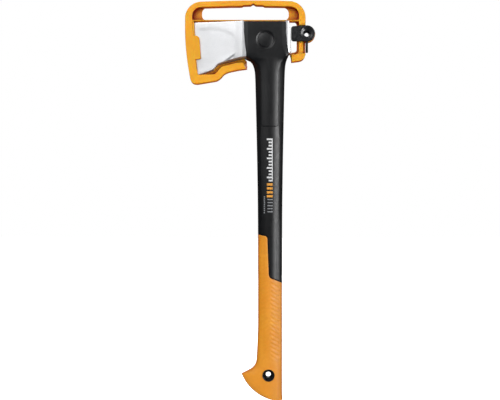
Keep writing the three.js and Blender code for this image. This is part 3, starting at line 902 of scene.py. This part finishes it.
def grip():
    bottom = GRIP_LOW[2]
    rounded = bottom + POMMEL_ROUND * (1 - np.cos(np.linspace(0, math.pi / 2, 7)))
    heights = np.concatenate([
        rounded, np.arange(bottom + 3.6, -98, 1.1), np.arange(-98, -80, 0.7),
        np.arange(-80, 140, 0.8)])
    rows = []
    for z in heights:
        left, right = grip_left(z), float(handle_right(z))
        low = max(POMMEL_ROUND - (z - bottom), 0.0)
        drop = POMMEL_ROUND - math.sqrt(POMMEL_ROUND ** 2 - low ** 2)
        rows.append(ring(z, left, right, drop * 0.8, side_powers(z)))
    made = loft(groove(ribs(rows)))
    common(made, through(grip_region(GAP)))
    cut(made, core(0, 200, CORE_BOTTOM - GAP))
    cut(made, bore(HANG, LINING_R + GAP))
    return finish_piece(made, "grip", "axe", GRIP, "grip_sleeve", 45)


def eyelet():
    """The black lining of the hanging hole, narrow in the middle."""
    face = box_mm("hanging_eyelet")[1][1]
    funnel = [(4.1 + 4.6 * (abs(y) / face) ** 2.2, y) for y in np.linspace(-face + 0.2, face - 0.2, 31)]
    profile = [(LINING_R, -face + 0.5), (9.5, -face), (8.9, -face), *funnel, (8.9, face), (9.5, face),
               (LINING_R, face - 0.5)]
    return finish_piece(turned(HANG, profile), "hanging_lining", "axe", GLOSS,
                        "hanging_eyelet")


def core_plug():
    """The stopper in the bottom of the hollow core, inside the grip."""
    made = core(4.8, -26)
    cut(made, core(7.5, -10, CORE_BOTTOM + 4))
    return finish_piece(made, "core_plug", "axe", BLACK, "core_end_plug")


# ------------ sheath

SHEATH_HALF = SHEATH_HIGH[1]
LEFT = SHEATH_LOW[0]
TOP = SHEATH_HIGH[2]
RIGHT = 58.4
RIM = 12.1
CORNER_R = 27
RIB_BOTTOM = 483.5
RIB_TOP = 486
BAR_UNDERSIDE = 507.6
SLOT_LEFT = -112.3
SLOT_RIGHT = 31.1
SLOT_R = 9.4
NOTCH_X = -27.5
EDGE_ROUND = 1.5
MOUTH_RIGHT = (34.2, 426.2)
MOUTH_LEFT = [(-36.6, 411.5), (-37.4, 405.6)]
BOSS_R = 13.9
BOSS_FRONT = -4.3
RING_SEAT = 4.4
LATCH_REAR = 6.8           # rear face of the boss, the barrel and its ring


def arc(centre, radius, start, end, count=18):
    """Points on an arc between two angles in degrees."""
    angles = np.radians(np.linspace(start, end, count))
    return [np.array([centre[0] + radius * math.cos(a), centre[1] + radius * math.sin(a)]) for a in angles]


def sheath_outline():
    """The sheath's outside, then the pocket round the head, as one loop."""
    points = arc((LEFT + CORNER_R, TOP - 2 - CORNER_R), CORNER_R, 180, 90)
    points += bezier((LEFT + CORNER_R, TOP - 2), (NOTCH_X - 8, TOP + 1.4), (RIGHT - CORNER_R, TOP - 1))[1:]
    points += arc((RIGHT - CORNER_R, TOP - 1 - CORNER_R), CORNER_R, 90, 0)
    points += bezier((RIGHT, 431), (RIGHT - 0.8, 420), (47.5, 418.3))
    points += [(47.5, 418.3), (35.2, 416.7)]
    points += [MOUTH_RIGHT, *pocket_points(), *MOUTH_LEFT]
    points += [(-50.4, 404)]
    points += bezier((-62, 401.6), (-73.5, 399.6), (-78, 394))
    points += bezier((-78, 394), (-83, 387), (-90.2, 385.3))
    points += bezier((-117, 380.9), (-129.6, 379), (-131.2, 389.5))
    points += bezier((-131.2, 389.5), (LEFT + 0.8, 428), (LEFT, 466))
    points += [(LEFT, 466)]
    return points


def pocket_points():
    """The pocket's wall from the mouth's right side over the head to its left side."""
    right = RIGHT - RIM + 1
    corners = [(33.9, 429.0, 1), (right, 429.6, 7), (right, RIB_BOTTOM, 1), (LEFT + RIM, RIB_BOTTOM, 1),
               (LEFT + RIM + 3, 430, 40), (-118.4, 396, 1.5), (-91, 396.6, 5), (-79.5, 409.2, 6),
               (-56, 415.2, 20), (-44.5, 416.9, 6)]
    return outline([MOUTH_RIGHT, *corners, MOUTH_LEFT[0]])[1:-1]


def slot_pocket():
    """The carry slot, with the finger steps and the hanging notch under the bar."""
    return outline([
        (LEFT + RIM, RIB_TOP, 1.5), (LEFT + RIM, BAR_UNDERSIDE - 1.2, 14),
        (NOTCH_X - 36, BAR_UNDERSIDE + 0.6, 30), (NOTCH_X - 18.6, BAR_UNDERSIDE + 0.7, 2.2),
        (NOTCH_X - 16.5, BAR_UNDERSIDE + 2.2, 2.2), (NOTCH_X - 4.4, BAR_UNDERSIDE + 2.5, 2.2),
        (NOTCH_X, BAR_UNDERSIDE + 5.2, 1.5), (NOTCH_X + 4.4, BAR_UNDERSIDE + 2.5, 2.2),
        (NOTCH_X + 16.5, BAR_UNDERSIDE + 2.2, 2.2), (NOTCH_X + 18.6, BAR_UNDERSIDE + 0.7, 2.2),
        (RIGHT - RIM + 1, BAR_UNDERSIDE, 14), (RIGHT - RIM + 1, RIB_TOP, 1.5)])


def slot_web(end, outer):
    """The thin plate at one end of the carry slot."""
    top = BAR_UNDERSIDE + 0.4
    centre = end + math.copysign(SLOT_R, -outer)
    turn = [180, 270, 90] if outer < 0 else [0, -90, 90]
    corners = [(centre, RIB_TOP - 1.2), *arc((centre, RIB_TOP + SLOT_R), SLOT_R, turn[1], turn[0]),
               *arc((centre, top - SLOT_R), SLOT_R, turn[0], turn[2]), (centre, top + 1.6)]
    return [*corners, (outer, top + 1.6), (outer, RIB_TOP - 1.2)]


def head_window():
    """The opening in the thin lower plate, round the head."""
    return outline([
        (-125.2, RIB_BOTTOM + 0.5), (44.2, RIB_BOTTOM + 0.5, 5), (44.2, 434.2, 5), (36, 433.4),
        (32.3, 430.6), (33.4, 426), (35.3, 414), (35.3, 350), (-37.4, 350), (-37.4, 405.6),
        (-36.1, 416.5), (-38, 419.5),
        (-43, 423.3), (-82, 413.7), (-86.8, 411.6), (-91.4, 406.2), (-94.6, 402.9), (-98, 401.8),
        (-118, 396), (-119.6, 396)])


def head_clearance():
    """The head's own shape, a little larger, for cutting the sheath's channel."""
    grow = 0.35
    heights = np.linspace(HEAD_LOW[2] - 1, HEAD_TOP + grow, 24)
    left = [(cutting_edge(z) - grow, z) for z in heights]
    bottom = [(x, head_bottom(x) - grow) for x in np.linspace(35, -126, 50)]
    side = outline([(float(x), float(z)) for x, z in [*left, (40, HEAD_TOP + grow), *bottom]])
    half = [(-137.5, 0.6), (-127.5, 2.6), (-112, 4.8), (-85, 8.4), (-66, 12.6), (-52, 16.2), (-44, 17),
            (40, 17)]
    verts, faces = [], []
    loop = [(x, -y - grow) for x, y in half] + [(x, y + grow) for x, y in half[::-1]]
    for z in (370, 500):
        verts += [(x, y, z) for x, y in loop]
    count = len(loop)
    faces += [(k, (k + 1) % count, (k + 1) % count + count, k + count) for k in range(count)]
    for k in range(count // 2 - 1):
        a, b, c, d = k, k + 1, count - 2 - k, count - 1 - k
        faces += [(a, d, c, b), (a + count, b + count, c + count, d + count)]
    return common(solid(verts, faces), through(side))


def blade_tab(side):
    """The tab over the middle of the cutting edge, on the front (-1) or the rear (1)."""
    tab = outline([(-130, 419.8, 1), (-130, 460.2, 1), (-116.4, 460.2, 6.5), (-113.8, 422, 2)])
    span = sorted((side, side * (SHEATH_HALF - 0.2)))
    return plate([tab], *span, 0.7)


def lower_plate():
    """The thin plate across the bottom and right of the pocket."""
    pocket = outline([(LEFT + 10, RIB_BOTTOM + 1), (RIGHT - 10, RIB_BOTTOM + 1), (RIGHT - 10, 427, 8),
                      (34, 427), (30, 400), (-36, 404), (-38, 413), (-56, 413), (-79.5, 406), (-92, 394),
                      (-120, 393)])
    return cut(plate([pocket], 2, 6.2), through(head_window()))


def blade_channel():
    """The thick strip along the rim that holds the cutting edge."""
    strip = outline([(LEFT + 9, 486), (-104, 486), (-104, 404), (-121, 398.5), (-127, 390)])
    return cut(plate([strip], -5.6, 5.6), through(head_window()))


def latch_boss():
    profile = [(0, BOSS_FRONT), (BOSS_R, BOSS_FRONT, 0.5), (BOSS_R, LATCH_REAR, 1), (0, LATCH_REAR)]
    return turned(PIVOT, rounded_profile(profile))


def sheath():
    made = plate([sheath_outline(), slot_pocket()], -SHEATH_HALF, SHEATH_HALF, EDGE_ROUND)
    left_end = plate([slot_web(SLOT_LEFT, LEFT + 10)], 2, 5, 0.5)
    right_end = plate([slot_web(SLOT_RIGHT, RIGHT - 10)], 2, 5, 0.5)
    join(made, left_end, right_end, lower_plate(), blade_channel())
    join(made, blade_tab(-1), blade_tab(1))
    cut(made, head_clearance())
    join(made, latch_boss())
    recess = outline([(42, 430.6), (42, PIVOT[1] + 14.3), (80, PIVOT[1] + 14.3), (80, 430.6)])
    cut(made, plate([recess], -FAR, BOSS_FRONT))
    cut(made, tail_relief(), *lead_ins())
    cut(made, bore(PIVOT, RING_R + 0.4, RING_SEAT), bore(PIVOT, BARREL_R + GAP))
    return finish_piece(made, "sheath", "sheath", ORANGE, "sheath_frame", 40)


def lead_ins():
    """Sloping cuts on both sides of the mouth, which guide the neck in."""
    reach = SHEATH_HALF + 0.2
    left = wedge_tool([(-47.5, 422), (-38.6, 403), (-30, 403), (-30, 422)],
                      [(-37.6, 422), (-36.9, 403), (-30, 403), (-30, 422)], -reach, reach)
    right = wedge_tool([(34.6, 430.5), (36.6, 412), (30, 412), (30, 430.5)],
                       [(33, 430.5), (35, 412), (30, 412), (30, 430.5)], -reach, reach)
    return left, right


def tail_relief():
    """A sloping cut for the finger behind the lever's tail."""
    low, high = 431.5, 450.5
    corners = [(53.5, low), (60, low), (60, high), (53.5, high)]
    tip = [(59.9, low), (60, low), (60, high), (59.9, high)]
    return wedge_tool(corners, tip, BOSS_FRONT - 1, 4.5)


# ------------ latch

LATCH_FRONT = LEVER_LOW[1]
LATCH_BACK = -4.6
DISC_R = 13.3
BARREL_R = 8.2
RING_R = 10.4
NECK_R = 6.0
WAIST_R = 3.2
PAD_LEFT = LEVER_LOW[0]
TAIL_BOTTOM = LEVER_LOW[2]


def latch_outline():
    """The pad and the disc in one outline."""
    top, bottom = PIVOT[1] + 11.7, PIVOT[1] - 13.0
    joint = PIVOT[0] - 12
    pad = outline([(PAD_LEFT, bottom, 4.5), (PAD_LEFT, top, 4.5), (joint, top + 0.9), (joint, bottom)])
    pad = [p for p in pad if p[0] < joint - 1]
    start = math.degrees(math.acos(-0.16))
    return pad + [(joint, top + 0.9)] + arc(PIVOT, DISC_R, start - 10, -90, 60)


def latch():
    """The lever: pad and disc, thumb tail, barrel, and the funnel down its middle."""
    made = plate([latch_outline()], LATCH_FRONT, LATCH_BACK, 1.3, 6)
    tail = outline([(58.3, TAIL_BOTTOM, 1.2), (58.3, PIVOT[1]), (62.2, PIVOT[1]), (62.2, TAIL_BOTTOM, 1.2)])
    barrel = [(0, LATCH_BACK - 1), (BARREL_R, LATCH_BACK - 1), (BARREL_R, RING_SEAT), (NECK_R, RING_SEAT),
              (NECK_R, LATCH_REAR), (0, LATCH_REAR)]
    join(made, plate([tail], LATCH_FRONT + 0.6, LATCH_BACK, 0.8), turned(PIVOT, barrel))
    funnel_radius = curve([(LATCH_FRONT, 10.6), (LATCH_FRONT + 0.6, 9.6), (LATCH_FRONT + 3, 5.4),
                           (LATCH_BACK, 4.6), (0, 3.9), (3.6, WAIST_R), (5, WAIST_R)])
    funnel = [(float(funnel_radius(y)), y) for y in np.linspace(LATCH_FRONT, 5, 32)]
    tool = [(0, -FAR), (12, -FAR), (12, LATCH_FRONT - 1), (11.4, LATCH_FRONT - 0.1), *funnel,
            (WAIST_R + 1, 6.9), (WAIST_R + 1, FAR), (0, FAR)]
    cut(made, turned(PIVOT, tool))
    return finish_piece(made, "latch_lever_piece", "latch", GLOSS, "latch_lever", 26)


def latch_ring():
    """The ring on the barrel that keeps the lever in the boss."""
    profile = rounded_profile([(NECK_R + GAP, RING_SEAT + GAP), (RING_R, RING_SEAT + GAP),
                               (RING_R, LATCH_REAR, 0.8), (NECK_R + GAP, LATCH_REAR, 0.3)])
    return finish_piece(turned(PIVOT, profile), "latch_ring_piece", "latch", GLOSS,
                        "latch_ring")


# ------------ stage

def look_at(made, target):
    made.rotation_euler = (Vector(target) - made.location).to_track_quat("-Z", "Y").to_euler()


def softbox(name, place, target, size, power, seen_in=("diffuse", "glossy")):
    """A rectangular light in metres and watts, for the named kinds of ray."""
    light = bpy.data.lights.new(name, "AREA")
    light.shape = "RECTANGLE"
    light.size, light.size_y = size
    light.energy = power
    made = add_object(name, light)
    made.location = place
    made.visible_diffuse = "diffuse" in seen_in
    made.visible_glossy = "glossy" in seen_in
    look_at(made, target)


def studio():
    """Broad fills that only light colours, and smaller panels and a strip for the gloss."""
    softbox("front_fill", (0, -2.1, 0.35), (0, 0, 0.2), (3.2, 1.7), 19, seen_in=("diffuse",))
    softbox("floor_bounce", (0, -0.3, -1.1), (0, 0, 0.3), (3, 3), 24, seen_in=("diffuse",))
    softbox("upper_key", (-0.7, -1.4, 1.45), (0, 0, 0.2), (0.9, 0.7), 15)
    softbox("left_panel", (-1.0, -1.6, 0.8), (0, 0, 0.4), (1.4, 1.2), 4)
    softbox("right_fill", (1.3, -1.2, 0.3), (0, 0, 0.1), (0.6, 1.7), 9, seen_in=("diffuse",))
    softbox("right_strip", (1.15, -1.0, 0.52), (0, 0, 0.3), (0.55, 0.75), 21, seen_in=("glossy",))
    softbox("low_right", (1.1, -0.9, -0.15), (0, 0, 0.4), (0.35, 0.3), 8, seen_in=("glossy",))
    softbox("rear_fill", (0.4, 2.2, 0.6), (0, 0, 0.25), (2.4, 2.0), 22, seen_in=("diffuse",))
    softbox("rear_panel", (0.5, 1.8, 1.35), (0, 0, 0.25), (2.0, 1.0), 22)


def surroundings():
    """White to the camera, and a dim light from above to everything else."""
    world = bpy.data.worlds.new("studio")
    bpy.context.scene.world = world
    world.use_nodes = True
    tree = world.node_tree
    background = tree.nodes["Background"]
    background.inputs["Color"].default_value = (1, 1, 1, 1)
    direction = tree.nodes.new("ShaderNodeTexCoord").outputs["Generated"]
    height = tree.nodes.new("ShaderNodeSeparateXYZ")
    tree.links.new(direction, height.inputs["Vector"])
    shade = tree.nodes.new("ShaderNodeMapRange")
    for key, value in (("From Min", -0.1), ("From Max", 0.8), ("To Min", 0.0), ("To Max", 0.3)):
        shade.inputs[key].default_value = value
    tree.links.new(height.outputs["Z"], shade.inputs["Value"])
    ray = tree.nodes.new("ShaderNodeLightPath")
    strength = tree.nodes.new("ShaderNodeMix")
    strength.inputs["B"].default_value = 1.0
    tree.links.new(ray.outputs["Is Camera Ray"], strength.inputs["Factor"])
    tree.links.new(shade.outputs["Result"], strength.inputs["A"])
    tree.links.new(strength.outputs["Result"], background.inputs["Strength"])
    bpy.context.scene.view_settings.view_transform = "Standard"


def floor():
    """A plain pale floor that neither lights the object nor takes its shadow."""
    level = cad_box[0][2] - 0.012
    mesh = bpy.data.meshes.new("floor")
    reach = 6.0
    mesh.from_pydata([(-reach, -reach, level), (reach, -reach, level), (reach, reach, level),
                      (-reach, reach, level)], [], [(0, 1, 2, 3)])
    made = add_object("floor", mesh)
    m = Nodes("pale_floor")
    m.set(Base_Color=rgb("f6f6f6"), Roughness=0.9, Emission_Color=(1, 1, 1, 1), Emission_Strength=1.0)
    mesh.materials.append(m.material)
    made.visible_diffuse = False
    made.visible_glossy = False
    made.visible_shadow = False


def camera():
    """The photograph's view: level, from in front of the edge side, 1.35 m away."""
    data = bpy.data.cameras.new("camera")
    data.lens = 58.9
    data.sensor_width = 36
    made = add_object("camera", data)
    made.location = (-0.033, -1.35, 0.19)
    made.rotation_euler = (math.pi / 2, 0, 0)
    bpy.context.scene.camera = made


camera()
studio()
surroundings()
floor()
axe_head()
handle()
lock_plug("lock_plug_front", "eye_plug_front", -1)
lock_plug("lock_plug_rear", "eye_plug_rear", 1)
grip()
eyelet()
core_plug()
sheath()
latch()
latch_ring()
